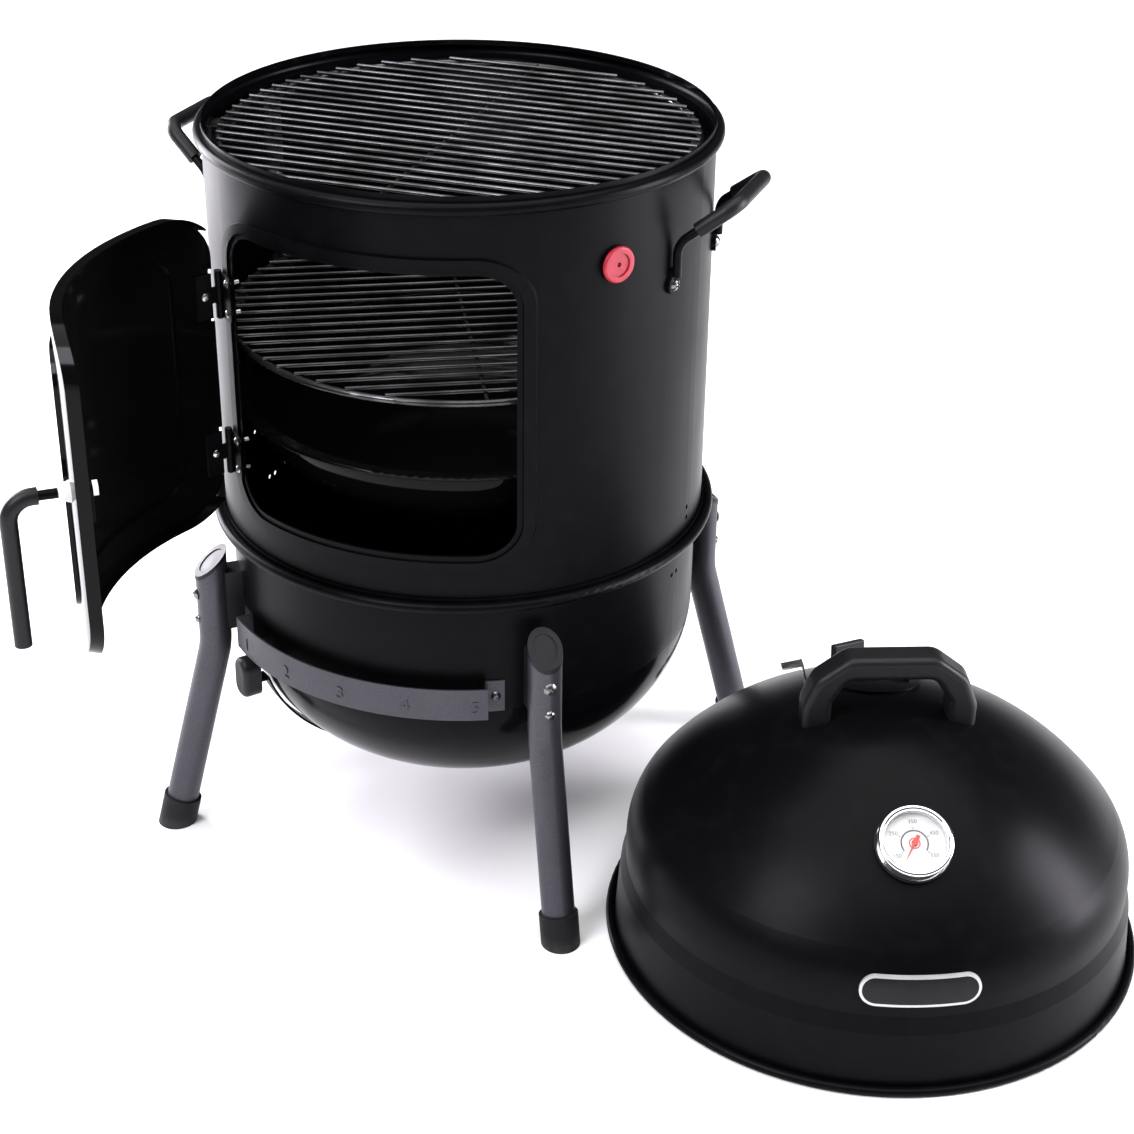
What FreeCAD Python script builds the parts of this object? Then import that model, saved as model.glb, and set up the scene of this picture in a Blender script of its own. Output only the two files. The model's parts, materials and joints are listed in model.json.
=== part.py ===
import FreeCAD, Part
import math
import os

# Vertical water smoker, millimetres, +Z up.
# Front (the door side) faces -Y.  The lid is off and stands on the floor at the
# front right, and the door is open.  The origin is the middle of the whole
# object's footprint, on the floor; the smoker's own axis is off to one side of it.

# ---- driving dimensions -------------------------------------------------------

SHEET = 1.2                      # wall of every pressed steel shell
TOUCH = 0.05                     # gap between pieces that are bolted together

AXIS_X = -189.45                 # smoker axis, from the origin
AXIS_Y = 113.5
LID_X = 409.0                    # lid centre, from the smoker axis
LID_Y = -82.0
LID_TURN = 24.0                  # lid's own front, turned from -Y
BOWL_TURN = -4.9                 # fire bowl, turned under the barrel

BARREL_R = 208.0                 # outside of the barrel wall
BARREL_FOOT = 288.0
BARREL_TOP = 637.0
BEAD_Z = 627.5                   # rolled bead below the lip
BEAD_OUT = 6.5
BEAD_HALF = 5.0

BOWL_R = 203.0                   # outside of the fire bowl wall
BOWL_FLAT_R = 45.0
BOWL_FLOOR = 65.0
BOWL_KNUCKLE_Z = 205.0           # where the wall starts to round under
SOCKET_R = 210.2                 # outside of the rim socket that holds the barrel
SOCKET_TOP = 302.0
RIM_BEAD_R = 213.8
RIM_BEAD_Z = 295.4
RIM_BEAD = 4.4

LEG_ANGLES = {"front_right": -45.0, "rear_right": 45.0, "rear_left": 135.0, "front_left": -135.0}
LEG_R = 14.0                     # tube outside
LEG_WALL = 1.5
LEG_RADIUS = 228.0               # upper, upright stretch of the tube
LEG_BEND_Z = 180.0
LEG_BEND = 80.0
LEG_TOP_Z = 256.6
LEG_CUT = 40.0                   # slope of the cut top
FOOT_RADIUS = 275.0
BOOT_R = 16.6
BOOT_HEIGHT = 27.0
BOOT_FLOOR = 6.0
LEG_SCREW_Z = (230.0, 205.5)
LEG_SCREW_HEAD_R = (5.6, 4.2)
M5_R = 2.5

BAND_R = 216.0
BAND_THICK = 1.5
BAND_Z = (192.0, 221.0)
BAND_ENDS = (-125.5, -57.0)      # in the bowl's own frame
BAND_TAB = 4.6                   # degrees of flat tab past each end

LEVER_ANGLE = -121.5             # rest position of the damper lever, at mark 1
LEVER_W = 13.0
DAMPER_R = 43.0
VENT_RING_R = 27.0
VENT_R = 12.5
VENTS = 3
PIVOT_R = 3.0

DOOR_HALF_W = 120.8              # half the chord of the opening
DOOR_Z = (340.0, 576.0)
DOOR_CORNER = 27.0
FRAME_W = 12.6
FRAME_R = 211.0                  # front face of the raised frame
FRAME_STEP_R = 209.2
DOOR_LAP = 1.0                   # gap from frame edge to door flange
DOOR_R = 216.2                   # inside of the door skin
BULGE_OUT = 3.0
BULGE_INSET = 24.0
FLANGE_R = 208.8
DOOR_OPEN = -81.5                # door stands this far open

HINGE_R = 214.2
HINGE_ANGLE = -129.95
HINGE_Z = {"upper": 517.0, "lower": 380.0}
HINGE_H = 38.0
KNUCKLE_R = 3.3
PIN_R = 2.0
LEAF = 1.4
HINGE_SCREW_ANGLE = -126.8
HINGE_SCREW_STEP = 12.5
HINGE_SCREW_R = 1.8

LATCH_ANGLE = -57.5
LATCH_Z = 465.0
LATCH_ROD_R = 3.8
LATCH_GRIP_R = 6.5
LATCH_REACH = 262.0
LATCH_DROP = 118.0
LATCH_BEND = 18.0
LATCH_ROD_END = 198.2            # inner end of the rod, just outside the grates
LATCH_NUT_R = 198.0
LATCH_CAM_R = 201.8

HANDLE_SPREAD = 14.2             # handle bolts, either side of the X axis, in degrees
HANDLE_BOLT_Z = 537.5
BRACKET_ANGLES = {"right_front": -HANDLE_SPREAD, "right_rear": HANDLE_SPREAD,
                  "left_rear": 180.0 - HANDLE_SPREAD, "left_front": 180.0 + HANDLE_SPREAD}
BRACKET_W = 20.0
BRACKET_LEDGE_R = 187.0
TOP_LEDGE_Z = 617.2
MID_LEDGE_Z = 463.2
LOW_LEDGE_Z = 399.5
STOCK = 1.5                      # bracket strip thickness

HANDLE_ROD_R = 3.6
HANDLE_GRIP_R = 6.2
HANDLE_OUT_X = 248.0
HANDLE_TOP_Z = 604.0
HANDLE_HALF = 39.0

GROMMET_ANGLE = -31.8
GROMMET_Z = 571.0
GROMMET_R = 14.5

GRATE_RING_R = 194.4
RING_WIRE_R = 2.8
BAR_R = 1.6
BAR_PITCH = 16.3
BAR_SINK = 0.6                   # how far a welded bar sinks into the ring
TOP_GRATE_TURN = 3.0
LOW_GRATE_TURN = 29.5
COAL_RING_R = 176.0
COAL_TURN = 78.0
COAL_PITCH = 19.0
COAL_LEDGE_Z = 224.0

PAN_RIM_R = 195.0
PAN_LIP_R = 183.0
PAN_FLOOR_R = 92.0
PAN_DEPTH = 72.0

LID_FOOT = 4.0                   # lower edge of the skirt's sheet
LID_RIM_R = 220.3                # rolled rim
LID_RIM_BEAD = 3.8
LID_SKIRT_LOW_R = 216.5
LID_SKIRT_HIGH_R = 212.5
LID_STEP_Z = (53.0, 68.0)        # the skirt steps in to the dome's wall
LID_WALL_R = 208.5
SHOULDER_R = 60.0
CROWN_R = 250.0                  # the crown is part of a ball
CROWN_Z = -36.4                  # its centre, below the lid
LID_VENT_Y = 60.0                # behind the lid's centre, in its own frame
LID_VENT_R = 38.0
LID_HOLE_R = 9.0
LID_HOLE_RING = 21.0
LID_TAB_H = 19.0
LID_TAB_TURN = 32.0
LID_HANDLE_HALF = 71.0
LID_HANDLE_DEPTH = 27.0
LID_HANDLE_TOP = 266.0
HANDLE_SCREW_X = 60.0
HOOK_X = -52.0
HOOK_Y = 46.0
GAUGE_Y = -135.0                 # thermometer, in front of the lid's centre
GAUGE_R = 29.5
GAUGE_H = 14.0
NEEDLE_TURN = 150.0
BADGE_Z = 92.0
BADGE_SIZE = (94.0, 26.0)

V = FreeCAD.Vector
UP = V(0, 0, 1)
TALL = 400.0                     # longer than any cut has to be


# ---- small tools ---------------------------------------------------------------

def save(node, shape):
    """Write one node, moved from the smoker's axis to the shared origin."""
    if isinstance(shape, list):
        shape = Part.makeCompound(shape)
    moved = shape.copy()
    moved.translate(V(AXIS_X, AXIS_Y, 0))
    moved.exportStep("parts/" + node + ".step")


def turned(shape, degrees, centre=V(0, 0, 0), axis=UP):
    result = shape.copy()
    result.rotate(centre, axis, degrees)
    return result


def shifted(shape, x=0.0, y=0.0, z=0.0):
    result = shape.copy()
    result.translate(V(x, y, z))
    return result


def fused(shapes):
    return shapes[0].multiFuse(shapes[1:]).removeSplitter()


def polar(radius, degrees, z=0.0):
    angle = math.radians(degrees)
    return V(radius * math.cos(angle), radius * math.sin(angle), z)


def spun(edges):
    """Solid of revolution about Z from the edges of a closed outline in XZ."""
    face = Part.Face(Part.Wire(Part.__sortEdges__(edges)))
    return face.revolve(V(0, 0, 0), UP, 360)


def outline(points):
    """Closed straight outline in XZ from (radius, height) pairs."""
    corners = [V(r, 0, z) for r, z in points]
    return [Part.makeLine(a, b) for a, b in zip(corners, corners[1:] + corners[:1])]


def ring(r_in, r_out, z_low, z_high):
    tube = Part.makeCylinder(r_out, z_high - z_low, V(0, 0, z_low))
    return tube.cut(Part.makeCylinder(r_in, z_high - z_low, V(0, 0, z_low)))


def sector(r_in, r_out, z_low, z_high, start, end):
    """Piece of a ring between two angles."""
    height = z_high - z_low
    span = end - start
    outer = Part.makeCylinder(r_out, height, V(0, 0, z_low), UP, span)
    inner = Part.makeCylinder(r_in, height, V(0, 0, z_low), UP, span)
    return turned(outer.cut(inner), start)


def arc(start, middle, end):
    return Part.Arc(start, middle, end).toShape()


def quarter(centre_r, centre_z, half_r, half_z, start, end):
    """Part of an ellipse in XZ, wider than it is high; degrees from +X towards +Z."""
    ellipse = Part.Ellipse(V(half_r, 0, 0), V(0, 0, half_z), V(0, 0, 0))
    edge = Part.ArcOfEllipse(ellipse, math.radians(start), math.radians(end)).toShape()
    edge.translate(V(centre_r, 0, centre_z))
    return edge


def rounded_path(points, radii):
    """Wire through points, with an arc at each inner corner."""
    edges = []
    start = points[0]
    for corner, after, radius in zip(points[1:-1], points[2:], radii):
        into = (corner - start).normalize()
        out = (after - corner).normalize()
        half = math.acos(max(-1.0, min(1.0, into.dot(out)))) / 2
        run = radius * math.tan(half)
        enter = corner - into * run
        leave = corner + out * run
        inward = (out - into).normalize()
        middle = corner + inward * (radius / math.cos(half) - radius)
        edges.append(Part.makeLine(start, enter))
        edges.append(arc(enter, middle, leave))
        start = leave
    edges.append(Part.makeLine(start, points[-1]))
    return Part.Wire(edges)


def rod(path, radius):
    """Round bar swept along a wire."""
    first = path.OrderedEdges[0]
    start = first.valueAt(first.FirstParameter)
    direction = first.tangentAt(first.FirstParameter)
    if (path.OrderedVertexes[0].Point - start).Length > 1e-6:
        start = first.valueAt(first.LastParameter)
        direction = first.tangentAt(first.LastParameter) * -1
    section = Part.Wire(Part.makeCircle(radius, start, direction))
    return path.makePipeShell([section], True, False)


def hexagon(across, height, base, axis):
    """Hex prism standing on base along axis."""
    radius = across / math.sqrt(3)
    corners = [V(radius * math.cos(math.radians(60 * k)), radius * math.sin(math.radians(60 * k)), 0)
               for k in range(7)]
    prism = Part.Face(Part.makePolygon(corners)).extrude(V(0, 0, height))
    prism.Placement = FreeCAD.Placement(base, FreeCAD.Rotation(UP, axis))
    return prism


def pan_head(radius, height, base, axis):
    """Domed screw head with a cross recess."""
    dome = (radius * radius + height * height) / (2 * height)
    head = Part.makeSphere(dome, V(0, 0, height - dome))
    head = head.common(Part.makeCylinder(radius, height))
    slot = radius * 1.1
    width = radius * 0.26
    depth = height * 0.55
    head = head.cut(Part.makeBox(slot, width, depth, V(-slot / 2, -width / 2, height - depth)))
    head = head.cut(Part.makeBox(width, slot, depth, V(-width / 2, -slot / 2, height - depth)))
    head.Placement = FreeCAD.Placement(base, FreeCAD.Rotation(UP, axis))
    return head


def radial_screw(angle, z, head_from, head_r, inner_end, shank_r=M5_R, head_h=3.0):
    """Screw driven towards the axis, head outside."""
    out = polar(1, angle)
    base = polar(head_from, angle, z)
    shank = Part.makeCylinder(shank_r, head_from - inner_end + 0.2, polar(inner_end, angle, z), out)
    return shank.fuse(pan_head(head_r, head_h, base, out))


def radial_hole(angle, z, r_from, r_to, radius):
    return Part.makeCylinder(radius, r_to - r_from, polar(r_from, angle, z), polar(1, angle))


def arch_prism(half_width, z_low, z_high, corner):
    """Rounded rectangle seen from the front, pushed through the front wall."""
    y_back = -100.0
    depth = 150.0
    box = Part.makeBox(2 * half_width, depth, z_high - z_low, V(-half_width, y_back - depth, z_low))
    along_y = [e for e in box.Edges if abs(e.tangentAt(e.FirstParameter).y) > 0.99]
    return box.makeFillet(corner, along_y)


# ---- fire bowl -----------------------------------------------------------------

def bowl_section(inset):
    """Outer line of the bowl moved inwards by inset, from the axis to the socket."""
    wall = BOWL_R - inset
    floor = BOWL_FLOOR + inset
    ledge = BARREL_FOOT - SHEET + inset
    socket = SOCKET_R - inset
    knuckle = quarter(BOWL_FLAT_R, BOWL_KNUCKLE_Z, wall - BOWL_FLAT_R,
                      BOWL_KNUCKLE_Z - floor, -90, 0)
    return [Part.makeLine(V(0, 0, floor), V(BOWL_FLAT_R, 0, floor)),
            knuckle,
            Part.makeLine(V(wall, 0, BOWL_KNUCKLE_Z), V(wall, 0, ledge)),
            Part.makeLine(V(wall, 0, ledge), V(socket, 0, ledge)),
            Part.makeLine(V(socket, 0, ledge), V(socket, 0, SOCKET_TOP))]


def leg_holes(angle):
    return [radial_hole(angle, z, BOWL_R - 8, LEG_RADIUS + LEG_R + 2, M5_R + TOUCH)
            for z in LEG_SCREW_Z]


def vent_holes(z_low, z_high, start):
    holes = []
    for k in range(VENTS):
        centre = polar(VENT_RING_R, start + k * 360.0 / VENTS, z_low)
        holes.append(Part.makeCylinder(VENT_R, z_high - z_low, centre))
    return holes


def fire_bowl():
    edges = bowl_section(0) + bowl_section(SHEET)
    edges.append(Part.makeLine(V(0, 0, BOWL_FLOOR), V(0, 0, BOWL_FLOOR + SHEET)))
    edges.append(Part.makeLine(V(SOCKET_R, 0, SOCKET_TOP), V(SOCKET_R - SHEET, 0, SOCKET_TOP)))
    shell = spun(edges)
    shell = shell.fuse(Part.makeTorus(RIM_BEAD_R, RIM_BEAD, V(0, 0, RIM_BEAD_Z)))
    cuts = vent_holes(BOWL_FLOOR - 2, BOWL_FLOOR + SHEET + 2, LEVER_ANGLE + 60)
    cuts.append(Part.makeCylinder(PIVOT_R + TOUCH, 8, V(0, 0, BOWL_FLOOR - 2)))
    for angle in LEG_ANGLES.values():
        cuts += leg_holes(angle)
    for side in (0, 180):
        for offset in (-1.3, 1.3):
            cuts.append(radial_hole(side + offset, 262.0, BOWL_R - 5, BOWL_R + 5, 2.2))
    for end, sign in zip(BAND_ENDS, (-1, 1)):
        cuts.append(radial_hole(end + sign * BAND_TAB * 0.55, sum(BAND_Z) / 2,
                                BOWL_R - 5, BOWL_R + 5, 2.0 + TOUCH))
    return shell.cut(Part.makeCompound(cuts))


def leg_axis(top, low):
    lean = V(FOOT_RADIUS - LEG_RADIUS, 0, -LEG_BEND_Z).normalize()
    foot = V(LEG_RADIUS, 0, LEG_BEND_Z) + lean * ((LEG_BEND_Z - low) / -lean.z)
    return rounded_path([V(LEG_RADIUS, 0, top), V(LEG_RADIUS, 0, LEG_BEND_Z), foot], [LEG_BEND])


def above_cut(lift):
    """Everything above the leg's sloping top, raised by lift along its normal."""
    slope = math.radians(LEG_CUT)
    normal = V(math.sin(slope), 0, math.cos(slope))
    block = Part.makeBox(120, 120, 80, V(-60, -60, 0))
    block.Placement = FreeCAD.Placement(V(LEG_RADIUS, 0, LEG_TOP_Z) + normal * lift,
                                        FreeCAD.Rotation(UP, normal))
    return block


def leg_tube():
    outer = rod(leg_axis(LEG_TOP_Z + 30, BOOT_FLOOR + 4), LEG_R)
    inner = rod(leg_axis(LEG_TOP_Z + 31, BOOT_FLOOR), LEG_R - LEG_WALL)
    holes = Part.makeCompound(leg_holes(0))
    return outer.cut(inner).cut(above_cut(0)).cut(holes)


def leg_plug():
    """Oval end cap, with a spigot inside the tube."""
    cap = Part.makeCylinder(LEG_R + 0.4, 80, V(LEG_RADIUS, 0, LEG_TOP_Z - 30))
    cap = cap.cut(above_cut(3.2)).common(above_cut(TOUCH))
    spigot = Part.makeCylinder(LEG_R - LEG_WALL - TOUCH, 60, V(LEG_RADIUS, 0, LEG_TOP_Z - 24))
    spigot = spigot.cut(above_cut(1.5)).cut(Part.makeCylinder(LEG_R - 4.5, 60, V(LEG_RADIUS, 0, LEG_TOP_Z - 60)))
    dish = Part.makeCylinder(LEG_R - 4.0, 80, V(LEG_RADIUS, 0, LEG_TOP_Z - 30))
    return cap.fuse(spigot).cut(dish.common(above_cut(2.3))).removeSplitter()


def leg_spacer(angle):
    """Cradle block between the bowl wall and the tube."""
    low, high = 196.0, 251.0
    block = Part.makeBox(LEG_RADIUS - BOWL_R, 20, high - low, V(BOWL_R - 4, -10, low))
    block = block.cut(Part.makeCylinder(BOWL_R + TOUCH, TALL))
    block = block.cut(Part.makeCylinder(LEG_R + TOUCH, TALL, V(LEG_RADIUS, 0, 0)))
    block = block.cut(Part.makeCompound(leg_holes(0)))
    return turned(block, angle)


def boot():
    """Rubber foot pushed over the tube end, flat on the floor."""
    lean = V(LEG_RADIUS - FOOT_RADIUS, 0, LEG_BEND_Z).normalize()
    floor = V(FOOT_RADIUS, 0, 0)
    outer = Part.makeCylinder(BOOT_R, BOOT_HEIGHT + 20, floor - lean * 20, lean)
    bore = Part.makeCylinder(LEG_R + TOUCH, BOOT_HEIGHT + 20, floor + lean * (BOOT_FLOOR + 3.5), lean)
    below = Part.makeBox(200, 200, 60, V(FOOT_RADIUS - 100, -100, -60))
    return outer.cut(bore).cut(below)


def make_legs():
    tube = leg_tube()
    plug = leg_plug()
    foot = boot()
    plugs = []
    spacers = []
    screws = []
    nuts = []
    supports = []
    for name, angle in LEG_ANGLES.items():
        place = angle + BOWL_TURN
        save("leg_" + name, turned(tube, place))
        save("boot_" + name, turned(foot, place))
        plugs.append(turned(plug, place))
        spacers.append(leg_spacer(place))
        supports.append(turned(coal_support(), place))
        for z, head_r in zip(LEG_SCREW_Z, LEG_SCREW_HEAD_R):
            screws.append(radial_screw(place, z, LEG_RADIUS + LEG_R + TOUCH, head_r, BOWL_R - 8))
            seat = BOWL_R - SHEET - STOCK - 0.6
            nut = hexagon(8.0, 4.0, polar(seat - 4.0, place, z), polar(1, place))
            nuts.append(nut.cut(radial_hole(place, z, BOWL_R - 20, BOWL_R, M5_R + TOUCH)))
    save("leg_plugs", plugs)
    save("leg_spacers", spacers)
    save("leg_nuts", nuts)
    save("charcoal_grate_supports", supports)
    return screws


def coal_support():
    """Bent strip inside the bowl, held by both leg screws, with a ledge inwards."""
    wall = BOWL_R - SHEET
    half = math.degrees(8.0 / wall)
    face = wall - 0.3
    strip = sector(face - STOCK, face, LEG_SCREW_Z[1] - 7, COAL_LEDGE_Z + 12, -half, half)
    ledge = sector(COAL_RING_R - 12, face - STOCK / 2, COAL_LEDGE_Z - STOCK, COAL_LEDGE_Z, -half, half)
    ledge = ledge.common(Part.makeBox(60, 16, 60, V(wall - 50, -8, COAL_LEDGE_Z - 30)))
    return strip.fuse(ledge).cut(Part.makeCompound(leg_holes(0))).removeSplitter()


# ---- bottom damper ---------------------------------------------------------------

def guide_band():
    """Curved scale bar in front of the bowl, stepped back to a tab at each end."""
    low, high = BAND_Z
    start, end = BAND_ENDS
    wall = math.degrees(BAND_THICK / BAND_R)
    back = BOWL_R + TOUCH
    front = BAND_R + BAND_THICK
    pieces = [sector(BAND_R, front, low, high, start, end),
              sector(back, front, low, high, start - wall, start),
              sector(back, front, low, high, end, end + wall),
              sector(back, back + BAND_THICK, low, high, start - BAND_TAB, start),
              sector(back, back + BAND_THICK, low, high, end, end + BAND_TAB)]
    band = fused(pieces)
    for edge, sign in zip(BAND_ENDS, (-1, 1)):
        band = band.cut(radial_hole(edge + sign * BAND_TAB * 0.55, (low + high) / 2,
                                    BOWL_R - 2, BOWL_R + 6, 2.0 + TOUCH))
    return turned(band, BOWL_TURN)


def band_screws():
    screws = []
    for edge, sign in zip(BAND_ENDS, (-1, 1)):
        angle = edge + sign * BAND_TAB * 0.55 + BOWL_TURN
        head_from = BOWL_R + BAND_THICK + 3 * TOUCH
        screws.append(radial_screw(angle, sum(BAND_Z) / 2, head_from, 4.2, BOWL_R - 8, 2.0, 2.4))
    return screws


def damper_disc():
    low = BOWL_FLOOR - 2.2
    disc = Part.makeCylinder(DAMPER_R, 1.6, V(0, 0, low))
    cuts = vent_holes(low - 1, low + 3, LEVER_ANGLE)
    cuts.append(Part.makeCylinder(PIVOT_R + TOUCH, 6, V(0, 0, low - 2)))
    return turned(disc.cut(Part.makeCompound(cuts)), BOWL_TURN)


def lever_line(offset):
    wall = BOWL_R + offset
    floor = BOWL_FLOOR - offset
    return [Part.makeLine(V(12, 0, floor), V(BOWL_FLAT_R, 0, floor)),
            quarter(BOWL_FLAT_R, BOWL_KNUCKLE_Z, wall - BOWL_FLAT_R, BOWL_KNUCKLE_Z - floor, -90, -15.5)]


def damper_lever():
    """Flat arm under the bowl, following its curve up to the knob."""
    near, far = 2.25, 4.25
    inner = lever_line(near)
    outer = lever_line(far)
    ends = [Part.makeLine(inner[0].Vertexes[0].Point, outer[0].Vertexes[0].Point),
            Part.makeLine(inner[1].Vertexes[1].Point, outer[1].Vertexes[1].Point)]
    shell = spun(inner + outer + ends)
    arm = shell.common(Part.makeBox(TALL, LEVER_W, TALL, V(0, -LEVER_W / 2, 0)))
    eye = ring(PIVOT_R + 4.5, 14, BOWL_FLOOR - far, BOWL_FLOOR - near)
    tip = Part.makeBox(16, LEVER_W, 2.0, V(BOWL_R - 3.0, -LEVER_W / 2, 164.5))
    arm = fused([arm, eye, tip])
    return turned(arm, LEVER_ANGLE + BOWL_TURN)


def damper_knob():
    """Moulded grip slid over the lever's tip, in front of the scale."""
    body = Part.makeBox(16, 23, 37, V(BOWL_R + 6.0, -11.5, 152))
    rounded = body.makeFillet(10.5, [e for e in body.Edges
                                     if abs(e.tangentAt(e.FirstParameter).x) > 0.9])
    front = [e for e in rounded.Edges if e.BoundBox.XMin > BOWL_R + 21.5]
    rounded = rounded.makeFillet(5.0, front)
    slot = Part.makeBox(20, LEVER_W + 2 * TOUCH, 2.0 + 2 * TOUCH,
                        V(BOWL_R - 6.9, -LEVER_W / 2 - TOUCH, 164.5 - TOUCH))
    return turned(rounded.cut(slot), LEVER_ANGLE + BOWL_TURN)


def pivot_bolt():
    head = hexagon(10.0, 4.0, V(0, 0, BOWL_FLOOR - 6.4), UP)
    washer = ring(PIVOT_R - 0.5, 7.2, BOWL_FLOOR - 2.4, BOWL_FLOOR - 2.25)
    shank = Part.makeCylinder(PIVOT_R, 16, V(0, 0, BOWL_FLOOR - 3))
    return fused([head, washer, shank])


def pivot_nut():
    base = BOWL_FLOOR + SHEET + TOUCH
    nut = hexagon(10.0, 5.0, V(0, 0, base), UP)
    return nut.cut(Part.makeCylinder(PIVOT_R + TOUCH, 8, V(0, 0, base - 1)))


# ---- wire grates and water pan ---------------------------------------------------

def wire_grate(ring_r, ring_z, pitch, turn):
    """Round wire grate: a rim ring, parallel bars on top, one cross wire below."""
    rim = Part.makeTorus(ring_r, RING_WIRE_R, V(0, 0, ring_z))
    bar_z = ring_z + RING_WIRE_R + BAR_R - BAR_SINK
    reach = ring_r + 1.0
    pieces = []
    count = int(reach // pitch)
    for k in range(-count, count + 1):
        y = k * pitch
        half = math.sqrt(reach * reach - y * y)
        pieces.append(Part.makeCylinder(BAR_R, 2 * half, V(-half, y, bar_z), V(1, 0, 0)))
    cross_z = bar_z - 2 * BAR_R + BAR_SINK / 2
    pieces.append(Part.makeCylinder(BAR_R, 2 * ring_r, V(0, -ring_r, cross_z), V(0, 1, 0)))
    return turned(rim.multiFuse(pieces), turn)


def water_pan():
    """Deep enamelled pan that hangs by its rim."""
    def line(inset):
        top = LOW_LEDGE_Z + inset
        floor = LOW_LEDGE_Z - PAN_DEPTH + inset
        lip = PAN_LIP_R - inset
        return [Part.makeLine(V(PAN_RIM_R, 0, top), V(lip, 0, top)),
                quarter(PAN_FLOOR_R, top, lip - PAN_FLOOR_R, top - floor, -90, 0),
                Part.makeLine(V(PAN_FLOOR_R, 0, floor), V(0, 0, floor))]
    edges = line(0) + line(SHEET)
    edges.append(Part.makeLine(V(PAN_RIM_R, 0, LOW_LEDGE_Z), V(PAN_RIM_R, 0, LOW_LEDGE_Z + SHEET)))
    floor = LOW_LEDGE_Z - PAN_DEPTH
    edges.append(Part.makeLine(V(0, 0, floor), V(0, 0, floor + SHEET)))
    pan = spun(edges)
    return pan.fuse(Part.makeTorus(PAN_RIM_R - 0.5, 1.8, V(0, 0, LOW_LEDGE_Z + 1.8)))


# ---- barrel ------------------------------------------------------------------------

def barrel_line(inset):
    wall = BARREL_R - inset
    low = V(wall, 0, BEAD_Z - BEAD_HALF)
    top = V(wall, 0, BEAD_Z + BEAD_HALF)
    return [Part.makeLine(V(wall, 0, BARREL_FOOT), low),
            arc(low, V(wall + BEAD_OUT, 0, BEAD_Z), top),
            Part.makeLine(top, V(wall, 0, BARREL_TOP))]


def barrel_shell():
    edges = barrel_line(0) + barrel_line(SHEET)
    for z in (BARREL_FOOT, BARREL_TOP):
        edges.append(Part.makeLine(V(BARREL_R, 0, z), V(BARREL_R - SHEET, 0, z)))
    shell = spun(edges)
    low, high = DOOR_Z
    edge = FRAME_W
    frame = arch_prism(DOOR_HALF_W + edge, low - edge, high + edge, DOOR_CORNER + edge)
    frame = frame.common(ring(BARREL_R - SHEET, FRAME_R, low - 20, high + 20))
    step = arch_prism(DOOR_HALF_W + 5, low - 5, high + 5, DOOR_CORNER + 5)
    step = step.common(ring(FRAME_STEP_R, FRAME_R + 2, low - 20, high + 20))
    opening = arch_prism(DOOR_HALF_W, low, high, DOOR_CORNER)
    cuts = [radial_hole(angle, HANDLE_BOLT_Z, BARREL_R - 8, BARREL_R + 8, 3 + TOUCH)
            for angle in BRACKET_ANGLES.values()]
    cuts.append(radial_hole(GROMMET_ANGLE, GROMMET_Z, BARREL_R - 8, BARREL_R + 8, 9.0))
    for side in (-2, 180):
        for z in (312.0, 321.5):
            cuts.append(radial_hole(side, z, BARREL_R - 5, BARREL_R + 5, 2.2))
    for z in HINGE_Z.values():
        cuts += hinge_holes(z)
    shell = shell.fuse(frame.cut(step)).cut(opening)
    return shell.cut(Part.makeCompound(cuts))


def grate_bracket():
    """Strip down the inside of the wall with a ledge for each level."""
    wall = BARREL_R - SHEET - TOUCH
    half = math.degrees(BRACKET_W / 2 / wall)
    strip = sector(wall - STOCK, wall, LOW_LEDGE_Z - STOCK, TOP_LEDGE_Z, -half, half)
    pieces = [strip]
    for z in (TOP_LEDGE_Z, MID_LEDGE_Z, LOW_LEDGE_Z):
        ledge = sector(BRACKET_LEDGE_R, wall - STOCK / 2, z - STOCK, z, -half, half)
        pieces.append(ledge)
    bolt = radial_hole(0, HANDLE_BOLT_Z, wall - 20, wall + 5, 3 + TOUCH)
    return fused(pieces).cut(bolt)


def handle_points(side_z):
    """Corners of the right handle: up the wall, out at a slope, and across."""
    foot = polar(BARREL_R + 4.6, -HANDLE_SPREAD)
    return [V(foot.x, foot.y, side_z),
            V(foot.x, foot.y, HANDLE_BOLT_Z + 34),
            V(HANDLE_OUT_X, -HANDLE_HALF, HANDLE_TOP_Z),
            V(HANDLE_OUT_X, HANDLE_HALF, HANDLE_TOP_Z),
            V(foot.x, -foot.y, HANDLE_BOLT_Z + 34),
            V(foot.x, -foot.y, side_z)]


def side_handle():
    bar = rod(rounded_path(handle_points(HANDLE_BOLT_Z + 7), [18, 15, 15, 18]), HANDLE_ROD_R)
    pieces = [bar]
    for sign in (-1, 1):
        angle = sign * HANDLE_SPREAD
        eye = Part.makeCylinder(8.0, 3.4, polar(BARREL_R + TOUCH, angle, HANDLE_BOLT_Z), polar(1, angle))
        neck = Part.makeCylinder(5.2, 3.3, polar(BARREL_R + TOUCH, angle, HANDLE_BOLT_Z + 8), polar(1, angle))
        pieces += [eye, neck]
    handle = pieces[0].multiFuse(pieces[1:])
    cuts = [Part.makeCylinder(BARREL_R + TOUCH, TALL, V(0, 0, 400))]
    for sign in (-1, 1):
        cuts.append(radial_hole(sign * HANDLE_SPREAD, HANDLE_BOLT_Z, BARREL_R - 5, BARREL_R + 15, 3 + TOUCH))
    return handle.cut(Part.makeCompound(cuts))


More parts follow.
